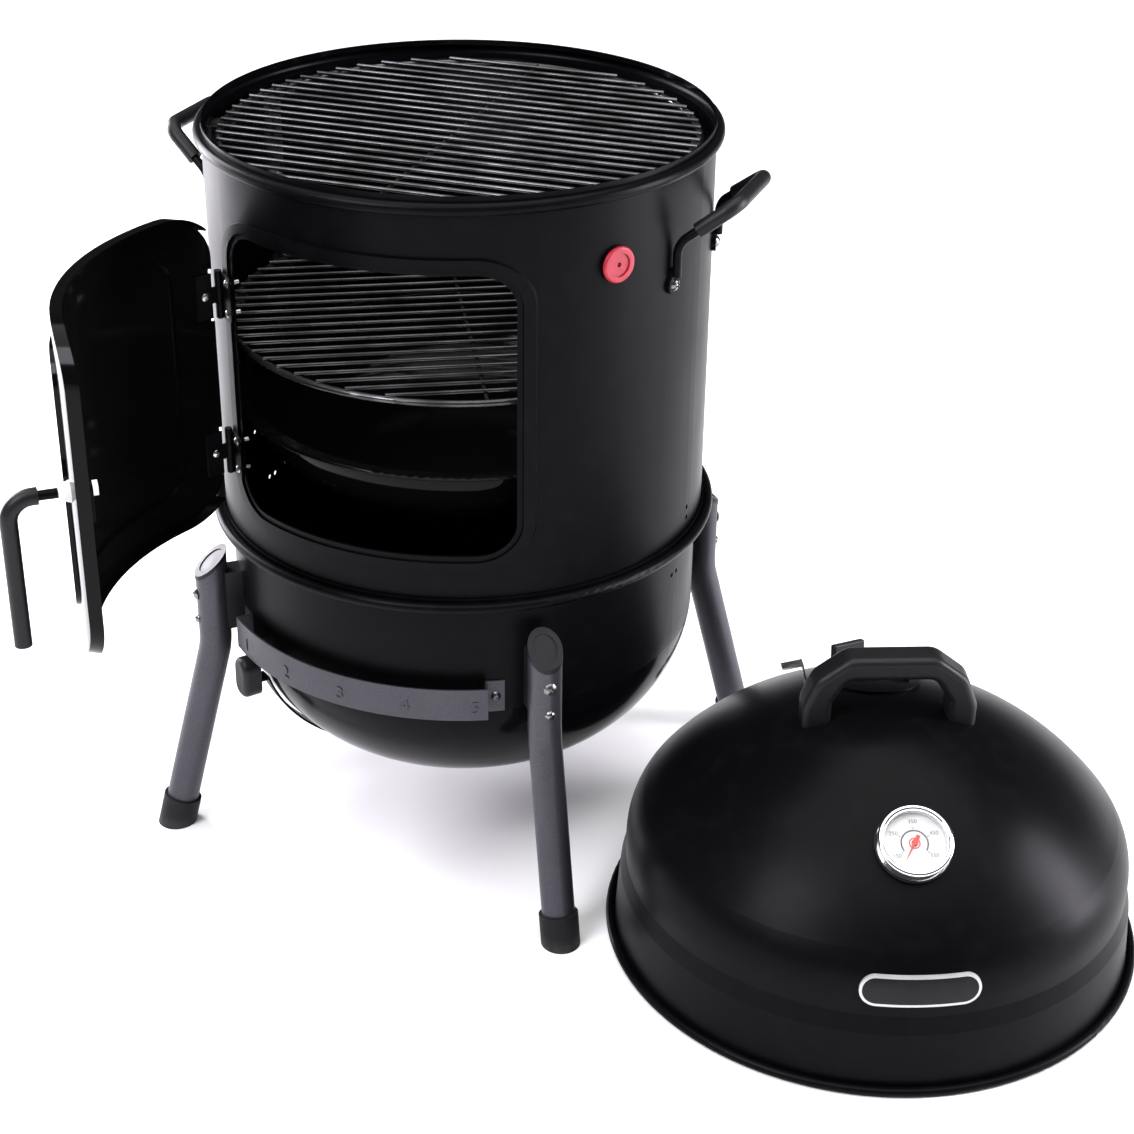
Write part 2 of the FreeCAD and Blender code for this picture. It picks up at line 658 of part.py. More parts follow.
def side_grip():
    """Sleeve over the handle's slopes and cross bar."""
    corners = handle_points(0)
    near = corners[1] + (corners[2] - corners[1]) * 0.34
    far = corners[4] + (corners[3] - corners[4]) * 0.34
    path = rounded_path([near, corners[2], corners[3], far], [15, 15])
    reach = (corners[2] - corners[1]).normalize() * 2
    back = (corners[3] - corners[4]).normalize() * 2
    bore = rounded_path([near - reach, corners[2], corners[3], far - back], [15, 15])
    return rod(path, HANDLE_GRIP_R).cut(rod(bore, HANDLE_ROD_R + TOUCH))


def make_handles():
    handle = side_handle()
    grip = side_grip()
    for name, turn in (("right", 0), ("left", 180)):
        save("side_handle_" + name, turned(handle, turn))
        save("side_grip_" + name, turned(grip, turn))
    bolts = []
    nuts = []
    for name, angle in BRACKET_ANGLES.items():
        save("grate_bracket_" + name, turned(grate_bracket(), angle))
        head_from = BARREL_R + 3.4 + 2 * TOUCH
        inner = BARREL_R - SHEET - STOCK - 6
        bolts.append(radial_screw(angle, HANDLE_BOLT_Z, head_from, 5.4, inner, 3.0, 3.2))
        seat = BARREL_R - SHEET - STOCK - 0.7
        nut = hexagon(10.0, 5.0, polar(seat - 5.0, angle, HANDLE_BOLT_Z), polar(1, angle))
        nuts.append(nut.cut(radial_hole(angle, HANDLE_BOLT_Z, BARREL_R - 20, BARREL_R, 3 + TOUCH)))
    save("handle_bolts", bolts)
    save("handle_nuts", nuts)


def probe_grommet():
    """Soft plug for a probe lead: dished disc outside, groove at the wall, tail inside."""
    along = polar(1, GROMMET_ANGLE)
    def disc(radius, start, end):
        return Part.makeCylinder(radius, end - start, polar(start, GROMMET_ANGLE, GROMMET_Z), along)
    face = disc(GROMMET_R, BARREL_R + 0.5, BARREL_R + 4.5)
    face = face.makeFillet(1.8, [e for e in face.Edges if e.Length > 80][:2])
    dish = disc(GROMMET_R - 5.0, BARREL_R + 3.2, BARREL_R + 6)
    groove = disc(9.0 - TOUCH, BARREL_R - 4, BARREL_R + 1)
    tail = disc(11.0, BARREL_R - 5.0, BARREL_R - SHEET - 0.3)
    hole = disc(2.0, BARREL_R - 6, BARREL_R + 6)
    return fused([face.cut(dish), groove, tail]).cut(hole)


# ---- door, hinges and latch -----------------------------------------------------------

def hinge_pin_point(z=0.0):
    return polar(HINGE_R, HINGE_ANGLE, z)


def hinge_holes(z):
    """Screw holes of the leaf that is fixed to the frame."""
    return [radial_hole(HINGE_SCREW_ANGLE, z + dz, BARREL_R - 10, DOOR_R + 10, HINGE_SCREW_R + TOUCH)
            for dz in (-HINGE_SCREW_STEP, HINGE_SCREW_STEP)]


def door_leaf_hole(z):
    return radial_hole(HINGE_SCREW_ANGLE, z, BARREL_R, DOOR_R + 10, HINGE_SCREW_R + TOUCH)


def knuckle(z_low, z_high):
    point = hinge_pin_point(z_low)
    return Part.makeCylinder(KNUCKLE_R, z_high - z_low, point)


def frame_leaf(z):
    """Leaf on the frame with the two outer knuckles."""
    half = HINGE_H / 2
    low, high = z - half, z + half
    plate = ring(FRAME_R + TOUCH, FRAME_R + TOUCH + LEAF, low, high)
    plate = plate.common(Part.makeBox(14.6, 60, HINGE_H, V(-136.6, -190, low)))
    plate = plate.cut(Part.makeBox(8, 60, 14.4, V(-141.5, -190, z - 7.2)))
    leaf = fused([plate, knuckle(low, z - 7), knuckle(z + 7, high)])
    leaf = leaf.cut(Part.makeCylinder(PIN_R + TOUCH, HINGE_H + 4, hinge_pin_point(low - 2)))
    return leaf.cut(Part.makeCompound(hinge_holes(z)))


def door_leaf(z):
    """Leaf inside the door skin with the middle knuckle."""
    plate = ring(DOOR_R - TOUCH - LEAF, DOOR_R - TOUCH, z - 19, z + 19)
    plate = plate.common(Part.makeBox(14.6, 60, HINGE_H, V(-136.6, -190, z - 19)))
    for side in (-1, 1):
        plate = plate.cut(Part.makeBox(9.2, 60, 13, V(-142.6, -190, z + side * 13 - 6.5 + side * 0.2)))
    leaf = plate.fuse(knuckle(z - 6.6, z + 6.6)).removeSplitter()
    leaf = leaf.cut(Part.makeCylinder(PIN_R + TOUCH, HINGE_H + 4, hinge_pin_point(z - 21)))
    return leaf.cut(door_leaf_hole(z))


def hinge_pins():
    pins = []
    for z in HINGE_Z.values():
        shaft = Part.makeCylinder(PIN_R, HINGE_H + 2, hinge_pin_point(z - 20))
        head = Part.makeCylinder(KNUCKLE_R - 0.3, 1.4, hinge_pin_point(z + 19 + TOUCH))
        pins.append(shaft.fuse(head).removeSplitter())
    return pins


def frame_screws():
    """Flat-headed screws through the fixed leaves into the frame."""
    seat = FRAME_R + LEAF + 2 * TOUCH
    return [radial_screw(HINGE_SCREW_ANGLE, z + dz, seat, 3.4, BARREL_R - 6, HINGE_SCREW_R, 1.6)
            for z in HINGE_Z.values() for dz in (-HINGE_SCREW_STEP, HINGE_SCREW_STEP)]


def door_screws():
    """Screws from the inside of the door, one in each moving leaf."""
    along = polar(-1, HINGE_SCREW_ANGLE)
    screws = []
    for z in HINGE_Z.values():
        seat = polar(DOOR_R - LEAF - 2 * TOUCH, HINGE_SCREW_ANGLE, z)
        shank = Part.makeCylinder(HINGE_SCREW_R, 5.0, seat - along * 4.9, along)
        screws.append(shank.fuse(pan_head(3.4, 1.6, seat, along)))
    return screws


def door_panel():
    """Pressed tray: curved skin, bulged field, and a flange on three sides."""
    low, high = DOOR_Z
    inner = FRAME_W + DOOR_LAP
    outer = inner + SHEET
    body = arch_prism(DOOR_HALF_W + outer, low - outer, high + outer, DOOR_CORNER + outer)
    core = arch_prism(DOOR_HALF_W + inner, low - inner, high + inner, DOOR_CORNER + inner)
    skin = body.common(ring(DOOR_R, DOOR_R + SHEET, low - 20, high + 20))
    flange = body.cut(core).common(ring(FLANGE_R, DOOR_R + SHEET, low - 20, high + 20))
    hinge_side = ring(150, DOOR_R - 0.05, low - 20, high + 20)
    flange = flange.cut(hinge_side.common(Part.makeBox(30, 90, TALL, V(-156, -200, 280))))
    inset = BULGE_INSET
    field = arch_prism(DOOR_HALF_W - inset + 10, low + inset - 10, high - inset + 10, DOOR_CORNER)
    hollow = arch_prism(DOOR_HALF_W - inset + 8.8, low + inset - 8.8, high - inset + 8.8, DOOR_CORNER - 1.2)
    rise = DOOR_R + BULGE_OUT
    bulge = field.common(ring(rise, rise + SHEET, low, high))
    walls = field.cut(hollow).common(ring(DOOR_R, rise + SHEET, low, high))
    hollow_cut = hollow.common(ring(DOOR_R - 1, rise, low, high))
    panel = fused([skin, flange, bulge, walls]).cut(hollow_cut)
    cuts = []
    for z in HINGE_Z.values():
        cuts.append(Part.makeBox(8, 60, HINGE_H + 6, V(-141.2, -200, z - HINGE_H / 2 - 3)))
        cuts.append(door_leaf_hole(z))
    cuts.append(radial_hole(LATCH_ANGLE, LATCH_Z, DOOR_R - 5, DOOR_R + 8, 5.4 + TOUCH))
    return panel.cut(Part.makeCompound(cuts))


def latch_bush():
    """Conical bush pressed through the door."""
    along = polar(1, LATCH_ANGLE)
    outside = DOOR_R + SHEET + TOUCH
    cone = Part.makeCone(8.6, 5.2, 9.5, polar(outside - 1, LATCH_ANGLE, LATCH_Z), along)
    cone = cone.cut(Part.makeCylinder(outside, 60, V(0, 0, LATCH_Z - 30)))
    spigot = Part.makeCylinder(5.4, 5.0, polar(outside - 4.0, LATCH_ANGLE, LATCH_Z), along)
    bore = Part.makeCylinder(LATCH_ROD_R + TOUCH, 30, polar(DOOR_R - 10, LATCH_ANGLE, LATCH_Z), along)
    return cone.fuse(spigot).cut(bore).removeSplitter()


def latch_corners(inner, drop):
    return [polar(inner, LATCH_ANGLE, LATCH_Z),
            polar(LATCH_REACH, LATCH_ANGLE, LATCH_Z),
            polar(LATCH_REACH, LATCH_ANGLE, LATCH_Z - drop)]


def latch_rod():
    return rod(rounded_path(latch_corners(LATCH_ROD_END, LATCH_DROP - 4), [LATCH_BEND]), LATCH_ROD_R)


def latch_grip():
    """Moulded sleeve round the bend and down the handle, closed at its end."""
    sleeve = rod(rounded_path(latch_corners(LATCH_REACH - 22, LATCH_DROP), [LATCH_BEND]), LATCH_GRIP_R)
    bore = rod(rounded_path(latch_corners(LATCH_REACH - 30, LATCH_DROP - 4), [LATCH_BEND]),
               LATCH_ROD_R + TOUCH)
    return sleeve.cut(bore)


def latch_cam():
    """Turns behind the frame when the handle is swung up to the side."""
    along = polar(1, LATCH_ANGLE)
    base = polar(LATCH_CAM_R, LATCH_ANGLE, LATCH_Z)
    plate = Part.makeBox(24, 13, 2.6, V(0, -6.5, 0))
    plate = plate.fuse(Part.makeCylinder(6.5, 2.6)).removeSplitter()
    plate = plate.cut(Part.makeCylinder(LATCH_ROD_R + TOUCH, 10, V(0, 0, -2)))
    plate.Placement = FreeCAD.Placement(base, FreeCAD.Rotation(V(0, 0, -1), V(0, 0, 0), along, "ZXY"))
    return plate


def latch_nut():
    along = polar(1, LATCH_ANGLE)
    nut = hexagon(11.0, LATCH_CAM_R - LATCH_NUT_R - TOUCH, polar(LATCH_NUT_R, LATCH_ANGLE, LATCH_Z), along)
    return nut.cut(Part.makeCylinder(LATCH_ROD_R + TOUCH, 10, polar(195, LATCH_ANGLE, LATCH_Z), along))


def opened(shape):
    """Swing a piece of the closed door to where the door stands."""
    return turned(shape, DOOR_OPEN, hinge_pin_point())


def make_door():
    save("door_panel", opened(door_panel()))
    for name, z in HINGE_Z.items():
        save("hinge_leaf_frame_" + name, frame_leaf(z))
        save("hinge_leaf_door_" + name, opened(door_leaf(z)))
    save("hinge_pins", hinge_pins())
    save("hinge_screws_frame", frame_screws())
    save("hinge_screws_door", [opened(screw) for screw in door_screws()])
    save("latch_bush", opened(latch_bush()))
    save("latch_handle_rod", opened(latch_rod()))
    save("latch_grip", opened(latch_grip()))
    save("latch_cam", opened(latch_cam()))
    save("latch_nut", opened(latch_nut()))


# ---- lid ----------------------------------------------------------------------------------

def lid_line(grow):
    """Outer line of the lid moved outwards by grow, from the skirt to the crown."""
    wall = LID_WALL_R + grow
    hub_r = LID_WALL_R - SHOULDER_R
    hub_z = CROWN_Z + math.sqrt((CROWN_R - SHOULDER_R) ** 2 - hub_r ** 2)
    tilt = math.atan2(hub_z - CROWN_Z, hub_r)
    shoulder = SHOULDER_R + grow
    crown = CROWN_R + grow

    def around(centre_r, centre_z, radius, angle):
        return V(centre_r + radius * math.cos(angle), 0, centre_z + radius * math.sin(angle))

    low, high = LID_STEP_Z
    corners = [V(LID_SKIRT_LOW_R + grow, 0, LID_FOOT), V(LID_SKIRT_HIGH_R + grow, 0, low),
               V(wall, 0, high), V(wall, 0, hub_z)]
    edges = [Part.makeLine(a, b) for a, b in zip(corners, corners[1:])]
    turn = around(hub_r, hub_z, shoulder, tilt)
    edges.append(arc(corners[-1], around(hub_r, hub_z, shoulder, tilt / 2), turn))
    edges.append(arc(turn, around(0, CROWN_Z, crown, (tilt + math.pi / 2) / 2), V(0, 0, CROWN_Z + crown)))
    return edges


def lid_block(grow):
    """Solid filling the lid, grown outwards; used to seat pieces on the dome."""
    edges = lid_line(grow)
    edges.append(Part.makeLine(V(0, 0, LID_FOOT), V(LID_SKIRT_LOW_R + grow, 0, LID_FOOT)))
    edges.append(Part.makeLine(V(0, 0, LID_FOOT), V(0, 0, CROWN_Z + CROWN_R + grow)))
    return spun(edges)


def crown_axis(x, y):
    """Outward direction of the crown above a point of the lid's plan."""
    return V(x, y, math.sqrt(CROWN_R ** 2 - x * x - y * y)).normalize()


def crown_point(x, y, lift=0.0):
    return V(0, 0, CROWN_Z) + crown_axis(x, y) * (CROWN_R + lift)


def vent_axis():
    return crown_axis(0, LID_VENT_Y)


def vent_point(lift=0.0):
    return crown_point(0, LID_VENT_Y, lift)


def vent_disc_at(radius, low, high):
    return Part.makeCylinder(radius, high - low, vent_point(low), vent_axis())


def lid_vents(start):
    """Three round openings about the vent's centre."""
    holes = []
    for k in range(3):
        angle = math.radians(start + 120 * k)
        hole = Part.makeCylinder(LID_HOLE_R, 24, V(math.cos(angle), math.sin(angle), 0) * LID_HOLE_RING
                                 + V(0, 0, -12))
        hole.Placement = seat_on(vent_point(), vent_axis()).multiply(hole.Placement)
        holes.append(hole)
    return holes


def seat_on(point, axis):
    return FreeCAD.Placement(point, FreeCAD.Rotation(UP, axis))


def lid_shell():
    edges = lid_line(0) + lid_line(-SHEET)
    edges.append(Part.makeLine(V(LID_SKIRT_LOW_R, 0, LID_FOOT), V(LID_SKIRT_LOW_R - SHEET, 0, LID_FOOT)))
    top = CROWN_Z + CROWN_R
    edges.append(Part.makeLine(V(0, 0, top), V(0, 0, top - SHEET)))
    lip = ring(LID_SKIRT_LOW_R - SHEET, LID_RIM_R, LID_FOOT, LID_FOOT + SHEET)
    bead = Part.makeTorus(LID_RIM_R, LID_RIM_BEAD, V(0, 0, LID_RIM_BEAD))
    shell = spun(edges).multiFuse([lip, bead])
    cuts = lid_vents(30)
    cuts.append(vent_disc_at(2.5 + TOUCH, -15, 15))
    cuts.append(gauge_disc(5.0 + TOUCH, -15, 15))
    for side in (-1, 1):
        cuts.append(Part.makeCylinder(2.5 + TOUCH, 60, V(side * HANDLE_SCREW_X, 0, 170)))
    for y in (-4, 4):
        hole = Part.makeCylinder(1.5 + TOUCH, 20, V(0, y, -10))
        hole.Placement = hook_seat().multiply(hole.Placement)
        cuts.append(hole)
    return shell.cut(Part.makeCompound(cuts))


def hook_seat():
    return seat_on(crown_point(HOOK_X, HOOK_Y), crown_axis(HOOK_X, HOOK_Y))


def bar_profile(corners, depth, rounding, above):
    """Flat outline in XZ drawn out along Y, with its corners above a height rounded."""
    points = [V(x, -depth / 2, z) for x, z in corners]
    bar = Part.Face(Part.makePolygon(points + points[:1])).extrude(V(0, depth, 0))
    edges = [e for e in bar.Edges if e.BoundBox.YLength > depth - 0.01 and e.BoundBox.ZMin > above]
    return bar.makeFillet(rounding, edges)


def lid_handle():
    """Moulded arch with two feet that sit on the dome."""
    half = LID_HANDLE_HALF
    top = LID_HANDLE_TOP
    foot = 175.0
    side = [(half, foot), (half, 222.0), (half - 9, 246.0), (36.0, top)]
    outer = bar_profile(side + [(-x, z) for x, z in reversed(side)], LID_HANDLE_DEPTH, 18, 215)
    inside = [(half - 23, foot - 5), (half - 24, 226.0), (35.0, top - 20.0)]
    gap = bar_profile(inside + [(-x, z) for x, z in reversed(inside)], LID_HANDLE_DEPTH + 6, 11, 235)
    arch = outer.cut(gap)
    rims = [e for e in arch.Edges if e.BoundBox.YLength < 0.01 and e.BoundBox.ZMax > foot + 1]
    arch = arch.makeFillet(6.0, rims)
    arch = arch.cut(lid_block(TOUCH))
    for sign in (-1, 1):
        arch = arch.cut(Part.makeCylinder(2.5 + TOUCH, 32, V(sign * HANDLE_SCREW_X, 0, 190)))
    return arch


def lid_screws():
    """Two screws up into the handle's feet, and the vent's rivet."""
    screws = []
    under = crown_point(HANDLE_SCREW_X, 0, -SHEET).z - 3.0
    for side in (-1, 1):
        shank = Part.makeCylinder(2.5, 218 - under, V(side * HANDLE_SCREW_X, 0, under))
        head = hexagon(8.0, 3.4, V(side * HANDLE_SCREW_X, 0, under - 3.4), UP)
        screws.append(shank.fuse(head).removeSplitter())
    rivet = [vent_disc_at(2.5, -3.0, 3.4), vent_disc_at(5.5, 2.1, 3.4), vent_disc_at(4.0, -3.0, -1.5)]
    screws.append(fused(rivet))
    return screws


def vent_disc():
    """Turning cover over the three openings, with an upright tab at its edge."""
    centre = V(0, 0, CROWN_Z)
    disc = vent_disc_at(LID_VENT_R, -8, 8).common(Part.makeSphere(CROWN_R + 1.9, centre))
    disc = disc.cut(Part.makeSphere(CROWN_R + 0.4, centre))
    cuts = lid_vents(-30)
    cuts.append(vent_disc_at(2.5 + TOUCH, -15, 15))
    disc = disc.cut(Part.makeCompound(cuts))
    return disc.fuse(vent_tab(0.0, -1.2, LID_TAB_H)).removeSplitter()


def vent_tab(grow, low, high):
    """The upright strip at the disc's edge, leaning with the vent's axis."""
    width = 24.0 + 2 * grow
    thick = 2.0 + 2 * grow
    tab = Part.makeBox(width, thick, high - low, V(-width / 2, LID_VENT_R - 5 - grow, low))
    tab.rotate(V(0, 0, 0), UP, LID_TAB_TURN)
    tab.Placement = seat_on(vent_point(), vent_axis()).multiply(tab.Placement)
    return tab


def vent_tab_cover():
    """Moulded cover slid over the top of the vent's tab."""
    cover = Part.makeBox(34, 6.0, 13, V(-17, LID_VENT_R - 7.0, LID_TAB_H - 10))
    cover = cover.makeFillet(1.8, cover.Edges)
    cover.rotate(V(0, 0, 0), UP, LID_TAB_TURN)
    cover.Placement = seat_on(vent_point(), vent_axis()).multiply(cover.Placement)
    return cover.cut(vent_tab(TOUCH, 0, LID_TAB_H + TOUCH))


def lid_hook():
    """Bent strip riveted beside the handle, to hang the lid on the barrel's lip."""
    foot = Part.makeBox(14, 18, 1.5, V(-7, -9, TOUCH + 0.1))
    upright = Part.makeBox(1.5, 14, 26, V(-7, -7, TOUCH + 0.1))
    hook = Part.makeBox(18, 14, 1.5, V(-23.5, -7, 24.6))
    strip = fused([foot, upright, hook])
    for y in (-4, 4):
        strip = strip.fuse(Part.makeCylinder(1.5, 5.4, V(0, y, -2.6))).removeSplitter()
        strip = strip.fuse(Part.makeCylinder(2.6, 1.0, V(0, y, 1.4))).removeSplitter()
    strip.Placement = hook_seat()
    return strip


def gauge_axis():
    return crown_axis(0, GAUGE_Y)


def gauge_point(lift=0.0):
    return crown_point(0, GAUGE_Y, lift)


def gauge_disc(radius, low, high):
    return Part.makeCylinder(radius, high - low, gauge_point(low), gauge_axis())


def gauge_bezel():
    """Chromed cup with a rolled front edge."""
    face = GAUGE_R - 5.0
    roll = Part.makeTorus(GAUGE_R - 2.4, 2.4, gauge_point(GAUGE_H - 2.4), gauge_axis())
    cup = fused([gauge_disc(GAUGE_R - 1.5, 2.0, GAUGE_H - 1.0), roll, gauge_disc(GAUGE_R, 2.0, 3.6)])
    return cup.cut(gauge_disc(face, 4.0, GAUGE_H + 2)).cut(gauge_disc(5.0 + TOUCH, -2, 5))


def gauge_dial():
    return gauge_disc(GAUGE_R - 5.1, 4.1, 6.0).cut(gauge_disc(1.2, 2, 8))


def gauge_needle():
    """Pointer and counterweight on its spindle."""
    base = 6.5
    pointer = Part.makePolygon([V(-0.9, 0, base), V(0, 17.5, base), V(0.9, 0, base), V(-0.9, 0, base)])
    tail = Part.makePolygon([V(-1.6, 0, base), V(-1.6, -7, base), V(1.6, -7, base), V(1.6, 0, base),
                             V(-1.6, 0, base)])
    hand = Part.Face(pointer).extrude(V(0, 0, 0.9)).fuse(Part.Face(tail).extrude(V(0, 0, 0.9)))
    hand.rotate(V(0, 0, 0), UP, NEEDLE_TURN)
    hand.Placement = seat_on(gauge_point(), gauge_axis()).multiply(hand.Placement)
    return fused([gauge_disc(2.6, base - 0.3, base + 1.4), gauge_disc(1.12, 4.3, base), hand])


def gauge_lens():
    return gauge_disc(GAUGE_R - 5.1, GAUGE_H - 4.0, GAUGE_H - 2.4)


def gauge_stem():
    """Probe stem through the dome, with its nut inside."""
    stem = gauge_disc(5.0, -14.0, 3.9).fuse(gauge_disc(2.5, -52.0, -13.0))
    nut = hexagon(17.0, 4.0, gauge_point(-SHEET - 5.2), gauge_axis())
    return [stem.removeSplitter(), nut.cut(gauge_disc(5.0 + TOUCH, -20, 5))]


def badge():
    """Plain rounded plate low on the dome's front."""
    width, height = BADGE_SIZE
    plate = Part.makeBox(width, 80, height, V(-width / 2, -LID_WALL_R - 12, BADGE_Z - height / 2))
    ends = [e for e in plate.Edges if e.BoundBox.YLength > 79]
    plate = plate.makeFillet(height / 2 - 0.1, ends)
    return plate.common(lid_block(1.8)).cut(lid_block(TOUCH))


def on_floor(shape):
    """Set a lid piece down beside the smoker."""
    if isinstance(shape, list):
        return [on_floor(piece) for piece in shape]
    return shifted(turned(shape, LID_TURN), LID_X, LID_Y)


def make_lid():
    save("lid_shell", on_floor(lid_shell()))
    save("lid_handle", on_floor(lid_handle()))
    save("lid_screws", on_floor(lid_screws()))
    save("lid_hook", on_floor(lid_hook()))
    save("lid_vent_disc", on_floor(vent_disc()))
    save("lid_vent_tab_cover", on_floor(vent_tab_cover()))
    save("thermometer_bezel", on_floor(gauge_bezel()))
    save("thermometer_dial", on_floor(gauge_dial()))
    save("thermometer_needle", on_floor(gauge_needle()))
    save("thermometer_lens", on_floor(gauge_lens()))
    save("thermometer_stem", on_floor(gauge_stem()))
    save("lid_badge", on_floor(badge()))


# ---- write every node ------------------------------------------------------------------------

os.makedirs("parts", exist_ok=True)

save("fire_bowl", turned(fire_bowl(), BOWL_TURN))
bowl_screws = make_legs() + band_screws()
save("bowl_screws", bowl_screws)
save("damper_guide_band", guide_band())
save("damper_disc", damper_disc())
save("damper_lever", damper_lever())
save("damper_knob", damper_knob())
save("damper_pivot_fasteners", [pivot_bolt(), pivot_nut()])

save("barrel_shell", barrel_shell())
make_handles()
save("probe_grommet", probe_grommet())
make_door()

save("charcoal_grate", wire_grate(COAL_RING_R, COAL_LEDGE_Z + RING_WIRE_R, COAL_PITCH, COAL_TURN))
save("water_pan", water_pan())
save("lower_grate", wire_grate(GRATE_RING_R, MID_LEDGE_Z + RING_WIRE_R, BAR_PITCH, LOW_GRATE_TURN))
save("top_grate", wire_grate(GRATE_RING_R, TOP_LEDGE_Z + RING_WIRE_R, BAR_PITCH, TOP_GRATE_TURN))

make_lid()
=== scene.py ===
import json
import math

import bmesh
import bpy
from mathutils import Matrix, Vector


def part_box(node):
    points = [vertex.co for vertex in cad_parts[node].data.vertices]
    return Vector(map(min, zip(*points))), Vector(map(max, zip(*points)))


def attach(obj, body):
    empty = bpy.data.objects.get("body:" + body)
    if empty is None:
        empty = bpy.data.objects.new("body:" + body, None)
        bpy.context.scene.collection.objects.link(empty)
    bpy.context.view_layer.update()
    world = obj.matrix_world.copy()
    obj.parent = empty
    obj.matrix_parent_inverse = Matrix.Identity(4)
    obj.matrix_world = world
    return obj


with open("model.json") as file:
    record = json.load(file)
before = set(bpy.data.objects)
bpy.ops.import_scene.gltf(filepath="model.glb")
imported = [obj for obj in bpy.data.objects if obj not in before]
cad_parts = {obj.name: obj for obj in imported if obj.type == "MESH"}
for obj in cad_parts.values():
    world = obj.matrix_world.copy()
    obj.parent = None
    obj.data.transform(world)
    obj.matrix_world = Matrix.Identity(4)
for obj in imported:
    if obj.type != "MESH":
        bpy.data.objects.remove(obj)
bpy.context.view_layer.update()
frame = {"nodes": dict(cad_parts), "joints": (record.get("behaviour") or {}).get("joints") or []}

# Looks of the vertical water smoker.  Metres, the frame's own axes.

# ---- view and light --------------------------------------------------------------

CAMERA_FROM_AXIS = (0.7123, -1.5999)
CAMERA_HEIGHT = 1.1804
CAMERA_HEADING = 21.015          # degrees, turned left of +Y
CAMERA_DOWN = 28.84
CAMERA_ROLL = 0.75
LENS = 70.56                     # mm
SENSOR_WIDTH = 36.0              # mm
CLIP_END = 50.0

FLOOR_HALF = 9
FLOOR_COLOR = (0.93, 0.93, 0.93)
WORLD_COLOR = (0.93, 0.93, 1.0)
WORLD_STRENGTH = 0.06
OVERHEAD_STRENGTH = 3.4          # soft light straight down; makes the floor white
OVERHEAD_SPREAD = 70.0           # degrees
SOFTBOX_TINT = (0.95, 0.92, 1.0)
SOFTBOX_TARGET = (0, 0, 0.3)
SOFTBOXES = (                    # name, place, width, height, watts
    ("key", (-1.2, -2.2, 2.6), 1.3, 1.3, 95),
    ("rim_right", (2.4, 0.9, 0.9), 0.7, 1.8, 110),
    ("rim_left", (-2.4, 0.7, 0.9), 0.7, 1.8, 110),
)

# ---- colours -----------------------------------------------------------------------

ENAMEL_BLACK = (0.0022, 0.0020, 0.0026)
ENAMEL_RUBBED = (0.0035, 0.0033, 0.0040)
ENAMEL_SHEEN = 0.055             # specular level
GLOSS_BLACK = (0.0022, 0.0022, 0.0022)
LEG_GREY = (0.036, 0.035, 0.043)
LEG_FLAKE = (0.065, 0.063, 0.076)
WIRE_GREY = (0.06, 0.06, 0.06)
WIRE_BRIGHT = (0.085, 0.085, 0.09)
WIRE_STAINED = (0.03, 0.029, 0.028)
ZINC = (0.62, 0.62, 0.60)
DARK_ZINC = (0.22, 0.22, 0.22)
CHROME = (0.82, 0.82, 0.83)
PLASTIC_BLACK = (0.005, 0.005, 0.006)
PLASTIC_GRAIN = (0.009, 0.009, 0.010)
RUBBER_BLACK = (0.007, 0.007, 0.008)
RUBBER_DUST = (0.05, 0.048, 0.045)
SILICONE_RED = (0.42, 0.012, 0.035)
SILICONE_DEEP = (0.33, 0.009, 0.026)
BUSH_WHITE = (0.72, 0.72, 0.70)
DIAL_WHITE = (0.86, 0.86, 0.85)
PRINT_GREY = (0.035, 0.035, 0.04)
NEEDLE_RED = (0.62, 0.02, 0.02)
BADGE_SILVER = (0.55, 0.55, 0.56)

# ---- roughness, lowest and highest ---------------------------------------------------

SATIN_ROUGH = (0.30, 0.40)
INNER_ROUGH = (0.10, 0.18)       # the glossier inside of the barrel and the bowl
GLOSS_ROUGH = (0.06, 0.14)
PRINT_ROUGH = (0.4, 0.5)

# ---- sizes of what the CAD leaves to the looks -----------------------------------------

BARREL_LIP_REACH = 0.0072        # from the lip's outer edge in to the barrel's sheet
BOWL_INSIDE = 0.2022             # in the bowl's upright wall; its rounded bottom is all within

LID_TURN = math.radians(24.0)
BADGE_HALF = 0.047               # half the badge's length
BADGE_BORDER = 0.0022

FONT_SIZE_PER_HEIGHT = 1.38      # the built-in font's size over the height of a numeral
DIGIT_COUNT = 5
DIGIT_HEIGHT = 0.0115
DIGIT_RISE = 0.0007
DIGIT_DROP = 0.003               # below the middle of the scale band's box
DIGIT_RADIUS = 0.2175            # the band's outside face
SCALE_START = -130.0             # degrees about the smoker's axis
DIGIT_INSET = 4.6                # from there to the "1"
DIGIT_STEP = 15.3

DIAL_FACE = 0.0060               # the dial's top, above the dome
DIAL_PRINT = 0.00012             # thickness of the ink
DIAL_SWEEP = (215.0, -35.0)      # degrees, anticlockwise from the dial's right
DIAL_ARC = (0.0098, 0.0110)      # inner and outer radius
DIAL_ARC_STEPS = 60
DIAL_TICKS = 20                  # steps between the first tick and the last
DIAL_TICKS_PER_NUMBER = 5
DIAL_TICK_INNER = 0.0114
DIAL_TICK_LONG = (0.0136, 1.3)   # outer radius and half width in degrees
DIAL_TICK_SHORT = (0.0125, 0.7)
DIAL_NUMBERS = ("150", "250", "350", "450", "550")
DIAL_NUMBER_HEIGHT = 0.0034
DIAL_NUMBER_RADIUS = 0.0177
DIAL_HUB = (0.0036, 0.0046)
DIAL_HUB_STEPS = 40

GASKET_RADII = (0.0270, 0.0306)
GASKET_HEIGHTS = (0.0010, 0.0022)
GASKET_STEPS = 72

JOINTS = {joint["name"]: joint for joint in frame["joints"]}
SMOKER_AXIS = Vector(JOINTS["bottom_damper_turn"]["pos_m"])


# ---- material helpers ----------------------------------------------------------------

